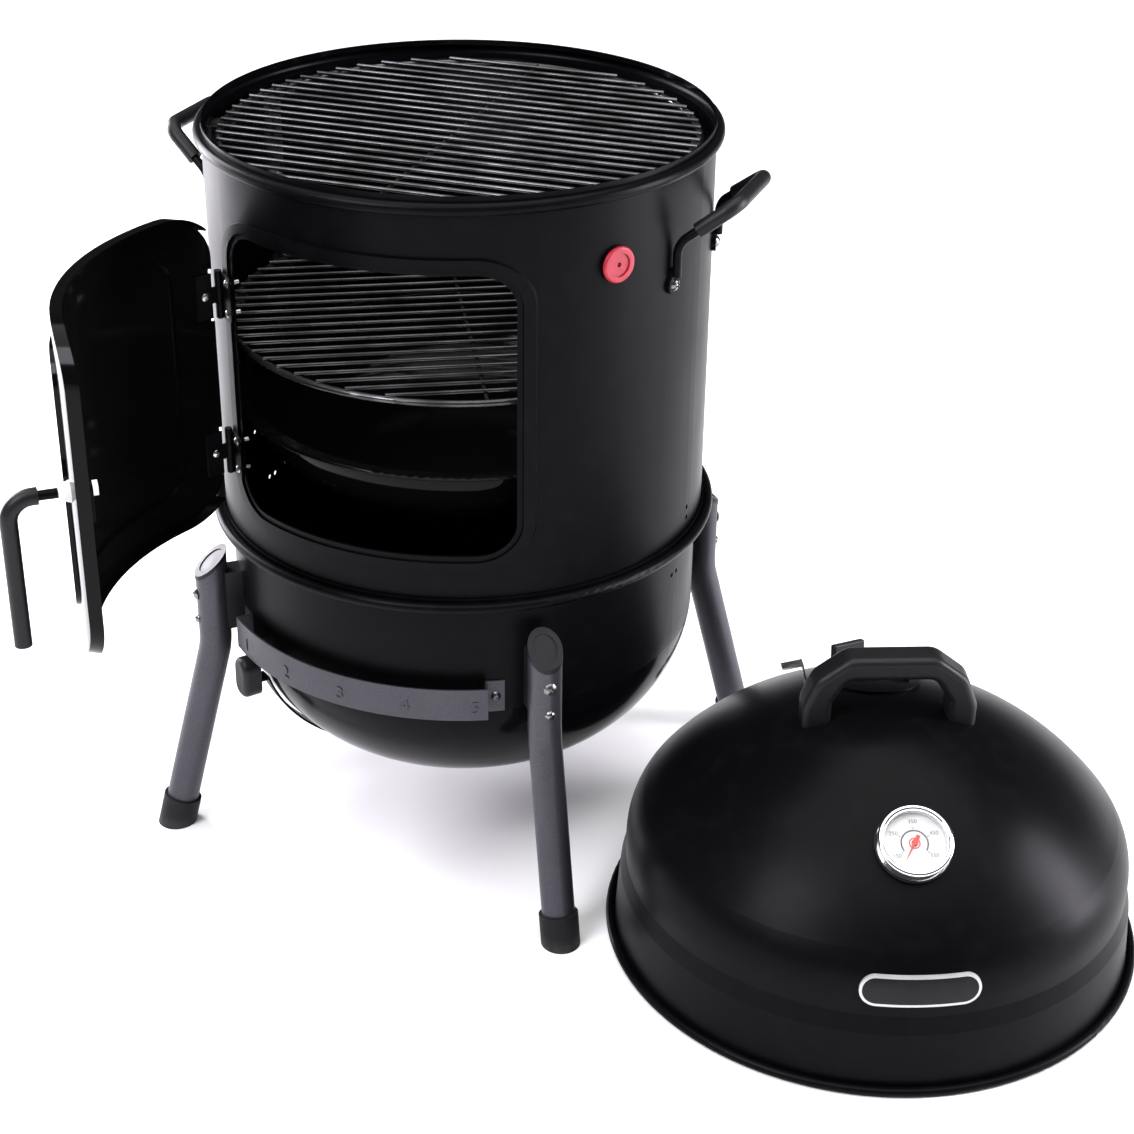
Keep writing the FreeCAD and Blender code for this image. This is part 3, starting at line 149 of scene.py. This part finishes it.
class Finish:
    """A Principled material with short ways to wire noise into it."""

    def __init__(self, name, color, metallic=0.0, specular=0.5):
        self.material = bpy.data.materials.new(name)
        self.material.use_nodes = True
        self.nodes = self.material.node_tree.nodes
        self.links = self.material.node_tree.links
        self.bsdf = self.nodes["Principled BSDF"]
        self.bsdf.inputs["Base Color"].default_value = (*color, 1)
        self.bsdf.inputs["Metallic"].default_value = metallic
        self.bsdf.inputs["Specular IOR Level"].default_value = specular
        self.place = self.nodes.new("ShaderNodeTexCoord").outputs["Object"]

    def noise(self, scale, detail=3.0, stretch=(1, 1, 1)):
        """Noise value; scale is in features per metre."""
        mapping = self.nodes.new("ShaderNodeMapping")
        mapping.inputs["Scale"].default_value = stretch
        self.links.new(self.place, mapping.inputs["Vector"])
        texture = self.nodes.new("ShaderNodeTexNoise")
        texture.inputs["Scale"].default_value = scale
        texture.inputs["Detail"].default_value = detail
        self.links.new(mapping.outputs["Vector"], texture.inputs["Vector"])
        return texture.outputs["Fac"]

    def ramp(self, value, low, high, start=0.35, end=0.65):
        """Map value from start..end to low..high."""
        node = self.nodes.new("ShaderNodeMapRange")
        node.inputs["From Min"].default_value = start
        node.inputs["From Max"].default_value = end
        node.inputs["To Min"].default_value = low
        node.inputs["To Max"].default_value = high
        self.links.new(value, node.inputs["Value"])
        return node.outputs["Result"]

    def math(self, kind, first, second):
        node = self.nodes.new("ShaderNodeMath")
        node.operation = kind
        for socket, value in zip(node.inputs, (first, second)):
            if isinstance(value, (int, float)):
                socket.default_value = value
            else:
                self.links.new(value, socket)
        return node.outputs["Value"]

    def mix_color(self, factor, first, second):
        node = self.nodes.new("ShaderNodeMix")
        node.data_type = "RGBA"
        self.links.new(factor, node.inputs["Factor"])
        for name, value in (("A", first), ("B", second)):
            socket = [s for s in node.inputs if s.name == name and s.type == "RGBA"][0]
            if isinstance(value, tuple):
                socket.default_value = (*value, 1)
            else:
                self.links.new(value, socket)
        return [s for s in node.outputs if s.type == "RGBA"][0]

    def rough(self, value):
        if isinstance(value, (int, float)):
            self.bsdf.inputs["Roughness"].default_value = value
        else:
            self.links.new(value, self.bsdf.inputs["Roughness"])

    def color(self, value):
        self.links.new(value, self.bsdf.inputs["Base Color"])

    def bump(self, height, millimetres, strength=1.0):
        node = self.nodes.new("ShaderNodeBump")
        node.inputs["Distance"].default_value = millimetres / 1000
        node.inputs["Strength"].default_value = strength
        self.links.new(height, node.inputs["Height"])
        self.links.new(node.outputs["Normal"], self.bsdf.inputs["Normal"])

    def coordinates(self):
        split = self.nodes.new("ShaderNodeSeparateXYZ")
        self.links.new(self.place, split.inputs["Vector"])
        return split.outputs["X"], split.outputs["Y"], split.outputs["Z"]

    def distance_from_axis(self, centre):
        """Horizontal distance from a vertical axis, in metres."""
        x, y, _ = self.coordinates()
        dx = self.math("SUBTRACT", x, centre.x)
        dy = self.math("SUBTRACT", y, centre.y)
        return self.math("SQRT", self.math("ADD", self.math("MULTIPLY", dx, dx),
                                           self.math("MULTIPLY", dy, dy)), 0.0)


def baked_enamel(name):
    """Baked black enamel with fine orange peel and a few rubbed patches; no roughness yet."""
    finish = Finish(name, ENAMEL_BLACK, specular=ENAMEL_SHEEN)
    rubbed = finish.ramp(finish.noise(60, 5), 0.0, 1.0, 0.5, 0.75)
    finish.color(finish.mix_color(rubbed, ENAMEL_BLACK, ENAMEL_RUBBED))
    finish.bump(finish.noise(420, 2), 0.05, 0.35)
    return finish


def satin_enamel(name):
    """Baked enamel whose sheen changes slowly."""
    finish = baked_enamel(name)
    finish.rough(finish.ramp(finish.noise(7, 4), *SATIN_ROUGH))
    return finish.material


def gloss_enamel(name):
    """Glassy black porcelain with a slight ripple."""
    finish = Finish(name, GLOSS_BLACK, specular=1.5 * ENAMEL_SHEEN)
    finish.rough(finish.ramp(finish.noise(12, 4), *GLOSS_ROUGH))
    finish.bump(finish.noise(55, 2), 0.15, 0.25)
    return finish.material


def two_sided_enamel(name, centre, wall):
    """Baked enamel, satin outside a radius about an upright axis and glossier inside it."""
    finish = baked_enamel(name)
    outside = finish.math("GREATER_THAN", finish.distance_from_axis(centre), wall)
    satin = finish.ramp(finish.noise(7, 4), *SATIN_ROUGH)
    gloss = finish.ramp(finish.noise(12, 4), *INNER_ROUGH)
    difference = finish.math("SUBTRACT", satin, gloss)
    finish.rough(finish.math("ADD", gloss, finish.math("MULTIPLY", outside, difference)))
    return finish.material


def leg_paint():
    """Dark metallic powder coat on the tubes: fine flake, slightly uneven."""
    finish = Finish("leg_paint", LEG_GREY, metallic=0.55, specular=0.5)
    flake = finish.noise(1500, 1)
    finish.color(finish.mix_color(finish.ramp(flake, 0.0, 1.0, 0.35, 0.7), LEG_GREY, LEG_FLAKE))
    finish.rough(finish.ramp(finish.noise(18, 4), 0.36, 0.48))
    finish.bump(flake, 0.04, 0.3)
    return finish.material


def zinc_plate(name, tone):
    """Zinc plating: cloudy roughness and faint drawn lines."""
    finish = Finish(name, tone, metallic=1.0)
    cloud = finish.noise(90, 5)
    finish.rough(finish.ramp(cloud, 0.20, 0.38))
    finish.color(finish.mix_color(finish.ramp(cloud, 0.0, 0.6), tone, tuple(c * 0.72 for c in tone)))
    finish.bump(finish.noise(500, 2, (1, 1, 6)), 0.03, 0.3)
    return finish.material


def plated_wire():
    """Grate wire: dark bright plating, stained a little where food and heat reach."""
    finish = Finish("plated_wire", WIRE_GREY, metallic=0.85)
    stain = finish.noise(26, 5)
    finish.rough(finish.ramp(stain, 0.20, 0.36))
    finish.color(finish.mix_color(finish.ramp(stain, 0.0, 1.0), WIRE_BRIGHT, WIRE_STAINED))
    finish.bump(finish.noise(900, 2), 0.03, 0.3)
    return finish.material


def chrome():
    finish = Finish("bezel_chrome", CHROME, metallic=1.0)
    finish.rough(finish.ramp(finish.noise(70, 4), 0.05, 0.12))
    finish.bump(finish.noise(1200, 1), 0.01, 0.2)
    return finish.material


def moulded_plastic():
    """Grained black moulding."""
    finish = Finish("moulded_plastic", PLASTIC_BLACK, specular=0.22)
    grain = finish.noise(1100, 2)
    finish.rough(finish.ramp(finish.noise(30, 4), 0.38, 0.50))
    finish.color(finish.mix_color(finish.ramp(grain, 0.0, 1.0), PLASTIC_BLACK, PLASTIC_GRAIN))
    finish.bump(grain, 0.06, 0.4)
    return finish.material


def rubber():
    """Matte rubber with dust on its lowest 12 mm above the floor."""
    finish = Finish("foot_rubber", RUBBER_BLACK, specular=0.2)
    _, _, height = finish.coordinates()
    low = finish.ramp(height, 1.0, 0.0, 0.0, 0.012)
    dust = finish.math("MULTIPLY", finish.ramp(finish.noise(120, 5), 0.2, 0.8), low)
    finish.color(finish.mix_color(dust, RUBBER_BLACK, RUBBER_DUST))
    finish.rough(finish.ramp(finish.noise(40, 4), 0.55, 0.72))
    finish.bump(finish.noise(700, 3), 0.08, 0.4)
    return finish.material


def red_silicone():
    finish = Finish("red_silicone", SILICONE_RED, specular=0.45)
    finish.color(finish.mix_color(finish.ramp(finish.noise(150, 4), 0.0, 1.0),
                                  SILICONE_RED, SILICONE_DEEP))
    finish.rough(finish.ramp(finish.noise(60, 3), 0.34, 0.46))
    finish.bump(finish.noise(800, 2), 0.05, 0.3)
    finish.bsdf.inputs["Subsurface Weight"].default_value = 0.08
    finish.bsdf.inputs["Subsurface Scale"].default_value = 0.002
    return finish.material


def smooth_moulding(name, tone, rough=(0.25, 0.35)):
    """Smooth plastic, paint or ink."""
    finish = Finish(name, tone)
    finish.rough(finish.ramp(finish.noise(80, 4), *rough))
    finish.color(finish.mix_color(finish.ramp(finish.noise(200, 4), 0.0, 0.5), tone,
                                  tuple(c * 0.9 for c in tone)))
    finish.bump(finish.noise(900, 2), 0.02, 0.3)
    return finish.material


def badge_finish(lid_axis):
    """Plain plate: dark field inside a bright border that follows its rounded outline."""
    finish = Finish("badge_plate", BADGE_SILVER, metallic=0.6)
    x, y, z = finish.coordinates()
    low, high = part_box("lid_badge")
    half_height = (high.z - low.z) / 2
    right = Vector((math.cos(LID_TURN), math.sin(LID_TURN)))
    across = finish.math("ADD", finish.math("MULTIPLY", finish.math("SUBTRACT", x, lid_axis.x), right.x),
                         finish.math("MULTIPLY", finish.math("SUBTRACT", y, lid_axis.y), right.y))
    past_end = finish.math("SUBTRACT", finish.math("ABSOLUTE", across, 0.0), BADGE_HALF - half_height)
    past_end = finish.math("MAXIMUM", past_end, 0.0)
    rise = finish.math("SUBTRACT", z, (low.z + high.z) / 2)
    spread = finish.math("ADD", finish.math("MULTIPLY", past_end, past_end),
                         finish.math("MULTIPLY", rise, rise))
    reach = finish.math("SQRT", spread, 0.0)
    border = finish.math("GREATER_THAN", reach, half_height - BADGE_BORDER)
    finish.color(finish.mix_color(border, PLASTIC_BLACK, BADGE_SILVER))
    finish.rough(finish.ramp(finish.noise(90, 5), 0.28, 0.42))
    finish.bump(finish.noise(500, 2), 0.03, 0.3)
    return finish.material


def gauge_glass():
    finish = Finish("gauge_glass", (1, 1, 1))
    finish.bsdf.inputs["Transmission Weight"].default_value = 1.0
    finish.bsdf.inputs["IOR"].default_value = 1.2
    finish.rough(finish.ramp(finish.noise(50, 3), 0.0, 0.03))
    return finish.material


# ---- mesh helpers -----------------------------------------------------------------------

def link(name, mesh, material, body):
    """A new visual piece that rides a body."""
    piece = bpy.data.objects.new(name, mesh)
    bpy.context.scene.collection.objects.link(piece)
    piece.data.materials.clear()
    piece.data.materials.append(material)
    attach(piece, body)
    return piece


def mesh_from(build):
    """A new mesh filled by build(bm)."""
    bm = bmesh.new()
    build(bm)
    bmesh.ops.recalc_face_normals(bm, faces=bm.faces)
    mesh = bpy.data.meshes.new("mesh")
    bm.to_mesh(mesh)
    bm.free()
    return mesh


def lettering(text, height, rise):
    """Raised text as a mesh, lying in XY and centred on the origin."""
    curve = bpy.data.curves.new("lettering", "FONT")
    curve.body = text
    curve.size = height * FONT_SIZE_PER_HEIGHT
    curve.extrude = rise
    curve.align_x = "CENTER"
    curve.align_y = "CENTER"
    curve.resolution_u = 4
    holder = bpy.data.objects.new("lettering", curve)
    bpy.context.scene.collection.objects.link(holder)
    bpy.context.view_layer.update()
    depsgraph = bpy.context.evaluated_depsgraph_get()
    mesh = bpy.data.meshes.new_from_object(holder.evaluated_get(depsgraph))
    bpy.data.objects.remove(holder)
    return mesh


def basis(origin, right, up):
    """Matrix whose X and Y lie along right and up."""
    out = right.cross(up)
    matrix = Matrix((right, up, out)).transposed().to_4x4()
    matrix.translation = origin
    return matrix


def flat_sector(bm, r_in, r_out, start, end, low, high, steps):
    """Thin annular sector in XY between two heights; degrees."""
    rings = []
    for k in range(steps + 1):
        angle = math.radians(start + (end - start) * k / steps)
        along = Vector((math.cos(angle), math.sin(angle), 0))
        corners = [(r_in, low), (r_out, low), (r_out, high), (r_in, high)]
        rings.append([bm.verts.new(along * r + Vector((0, 0, z))) for r, z in corners])
    for a, b in zip(rings, rings[1:]):
        for k in range(4):
            bm.faces.new((a[k], a[(k + 1) % 4], b[(k + 1) % 4], b[k]))
    bm.faces.new(rings[0])
    bm.faces.new(rings[-1][::-1])


# ---- paint the CAD nodes -----------------------------------------------------------------

def paint(material, *nodes):
    for name in nodes:
        piece = frame["nodes"][name]
        if not piece.material_slots:
            piece.data.materials.append(material)
        for entry in piece.material_slots:
            entry.material = material


def box_centre(node):
    low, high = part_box(node)
    return (low + high) / 2


def paint_frame():
    legs = ("front_right", "front_left", "rear_right", "rear_left")
    brackets = ("right_front", "right_rear", "left_front", "left_rear")
    hinges = ("upper", "lower")
    lid_axis = box_centre("lid_shell")
    barrel_low, barrel_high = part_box("barrel_shell")
    barrel_inside = (barrel_high.x - barrel_low.x) / 2 - BARREL_LIP_REACH
    zinc = zinc_plate("zinc_plate", ZINC)
    dark_zinc = zinc_plate("dark_zinc", DARK_ZINC)
    plastic = moulded_plastic()
    paint_grey = leg_paint()
    foot = rubber()
    paint(two_sided_enamel("barrel_enamel", SMOKER_AXIS, barrel_inside), "barrel_shell")
    paint(two_sided_enamel("bowl_enamel", SMOKER_AXIS, BOWL_INSIDE), "fire_bowl")
    paint(satin_enamel("lid_enamel"), "lid_shell")
    paint(gloss_enamel("door_enamel"), "door_panel")
    paint(gloss_enamel("pan_enamel"), "water_pan")
    for name in legs:
        paint(paint_grey, "leg_" + name)
        paint(foot, "boot_" + name)
    paint(paint_grey, "damper_guide_band")
    paint(satin_enamel("handle_enamel"), "side_handle_right", "side_handle_left",
          "latch_handle_rod", "latch_cam", "damper_lever", "lid_vent_disc", "hinge_pins")
    paint(plastic, "leg_plugs", "leg_spacers", "damper_knob", "side_grip_right", "side_grip_left",
          "latch_grip", "lid_handle", "lid_vent_tab_cover")
    paint(plated_wire(), "top_grate", "lower_grate", "charcoal_grate")
    paint(zinc, "latch_nut", "hinge_screws_frame", "hinge_screws_door", "lid_hook", "leg_nuts",
          "handle_nuts", "damper_pivot_fasteners", "thermometer_stem", "lid_screws")
    paint(dark_zinc, "bowl_screws", "handle_bolts", "damper_disc", "charcoal_grate_supports")
    dark_leaf = satin_enamel("hinge_enamel")
    for name in hinges:
        paint(dark_leaf, "hinge_leaf_frame_" + name, "hinge_leaf_door_" + name)
    for name in brackets:
        paint(dark_zinc, "grate_bracket_" + name)
    paint(red_silicone(), "probe_grommet")
    paint(smooth_moulding("bush_white", BUSH_WHITE), "latch_bush")
    paint(chrome(), "thermometer_bezel")
    paint(smooth_moulding("dial_white", DIAL_WHITE, PRINT_ROUGH), "thermometer_dial")
    paint(smooth_moulding("needle_red", NEEDLE_RED), "thermometer_needle")
    paint(gauge_glass(), "thermometer_lens")
    paint(badge_finish(lid_axis), "lid_badge")


# ---- small pieces the CAD leaves to the looks ----------------------------------------------

def band_digits():
    """Raised numbers, from 1 up, along the front of the scale band."""
    material = leg_paint()
    low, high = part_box("damper_guide_band")
    middle = Vector((SMOKER_AXIS.x, SMOKER_AXIS.y, (low.z + high.z) / 2 - DIGIT_DROP))
    for k in range(DIGIT_COUNT):
        angle = math.radians(SCALE_START + DIGIT_INSET + DIGIT_STEP * k)
        out = Vector((math.cos(angle), math.sin(angle), 0))
        right = Vector((-out.y, out.x, 0))
        place = basis(middle + out * DIGIT_RADIUS, right, Vector((0, 0, 1)))
        mesh = lettering(str(k + 1), DIGIT_HEIGHT, DIGIT_RISE)
        mesh.transform(place)
        link("band_digit_%d" % (k + 1), mesh, material, "base")


def gauge_basis(lift):
    """Dial plane: X to the dial's right, Y up its face, raised by lift."""
    joint = JOINTS["gauge_needle_turn"]
    axis = Vector(joint["axis"]).normalized()
    up = (Vector((0, 0, 1)) - axis * axis.z).normalized()
    return basis(Vector(joint["pos_m"]) + axis * lift, up.cross(axis), up)


def dial_print():
    """Arc, ticks, numbers and hub ring on the dial."""
    ink = smooth_moulding("dial_ink", PRINT_GREY, PRINT_ROUGH)
    start, end = DIAL_SWEEP

    def marks(bm):
        flat_sector(bm, *DIAL_ARC, start, end, 0, DIAL_PRINT, DIAL_ARC_STEPS)
        for k in range(DIAL_TICKS + 1):
            angle = start + (end - start) * k / DIAL_TICKS
            numbered = k % DIAL_TICKS_PER_NUMBER == 0
            reach, half = DIAL_TICK_LONG if numbered else DIAL_TICK_SHORT
            flat_sector(bm, DIAL_TICK_INNER, reach, angle - half, angle + half, 0, DIAL_PRINT, 1)

    mesh = mesh_from(marks)
    mesh.transform(gauge_basis(DIAL_FACE))
    link("dial_scale", mesh, ink, "lid")
    for k, text in enumerate(DIAL_NUMBERS):
        angle = math.radians(start + (end - start) * k / (len(DIAL_NUMBERS) - 1))
        mesh = lettering(text, DIAL_NUMBER_HEIGHT, DIAL_PRINT / 2)
        mesh.transform(Matrix.Translation((DIAL_NUMBER_RADIUS * math.cos(angle),
                                           DIAL_NUMBER_RADIUS * math.sin(angle), 0)))
        mesh.transform(gauge_basis(DIAL_FACE))
        link("dial_number_" + text, mesh, ink, "lid")
    red = smooth_moulding("dial_red", NEEDLE_RED)
    mesh = mesh_from(lambda bm: flat_sector(bm, *DIAL_HUB, 0, 360, 0, DIAL_PRINT, DIAL_HUB_STEPS))
    mesh.transform(gauge_basis(DIAL_FACE))
    link("dial_hub_ring", mesh, red, "lid")


def gauge_gasket():
    """Thin black ring between the bezel and the dome."""
    mesh = mesh_from(lambda bm: flat_sector(bm, *GASKET_RADII, 0, 360, *GASKET_HEIGHTS, GASKET_STEPS))
    mesh.transform(gauge_basis(0))
    link("gauge_gasket", mesh, rubber(), "lid")


# ---- stage, camera, light ----------------------------------------------------------------------

def build_stage():
    def plane(bm):
        signs = ((-1, -1), (1, -1), (1, 1), (-1, 1))
        bm.faces.new([bm.verts.new((x * FLOOR_HALF, y * FLOOR_HALF, 0)) for x, y in signs])

    mesh = mesh_from(plane)
    finish = Finish("floor_white", FLOOR_COLOR, specular=0.1)
    finish.rough(0.9)
    floor = bpy.data.objects.new("floor", mesh)
    floor.data.materials.append(finish.material)
    bpy.context.scene.collection.objects.link(floor)


def build_camera():
    data = bpy.data.cameras.new("camera")
    data.lens = LENS
    data.sensor_width = SENSOR_WIDTH
    data.clip_end = CLIP_END
    camera = bpy.data.objects.new("camera", data)
    turn = (Matrix.Rotation(math.radians(CAMERA_HEADING), 4, "Z")
            @ Matrix.Rotation(math.radians(90 - CAMERA_DOWN), 4, "X")
            @ Matrix.Rotation(math.radians(CAMERA_ROLL), 4, "Z"))
    place = Vector((SMOKER_AXIS.x + CAMERA_FROM_AXIS[0], SMOKER_AXIS.y + CAMERA_FROM_AXIS[1],
                    CAMERA_HEIGHT))
    camera.matrix_world = Matrix.Translation(place) @ turn
    bpy.context.scene.collection.objects.link(camera)
    bpy.context.scene.camera = camera


def softbox(name, place, width, height, power):
    data = bpy.data.lights.new(name, "AREA")
    data.shape = "RECTANGLE"
    data.size = width
    data.size_y = height
    data.energy = power
    data.color = SOFTBOX_TINT
    light = bpy.data.objects.new(name, data)
    light.location = place
    light.rotation_euler = (Vector(SOFTBOX_TARGET) - Vector(place)).to_track_quat("-Z", "Y").to_euler()
    bpy.context.scene.collection.objects.link(light)


def build_lights():
    world = bpy.data.worlds.new("studio")
    world.use_nodes = True
    background = world.node_tree.nodes["Background"]
    background.inputs["Color"].default_value = (*WORLD_COLOR, 1)
    background.inputs["Strength"].default_value = WORLD_STRENGTH
    bpy.context.scene.world = world
    bpy.context.scene.view_settings.view_transform = "Standard"
    data = bpy.data.lights.new("overhead", "SUN")
    data.energy = OVERHEAD_STRENGTH
    data.angle = math.radians(OVERHEAD_SPREAD)
    overhead = bpy.data.objects.new("overhead", data)
    bpy.context.scene.collection.objects.link(overhead)
    for box in SOFTBOXES:
        softbox(*box)


paint_frame()
band_digits()
dial_print()
gauge_gasket()
build_stage()
build_camera()
build_lights()
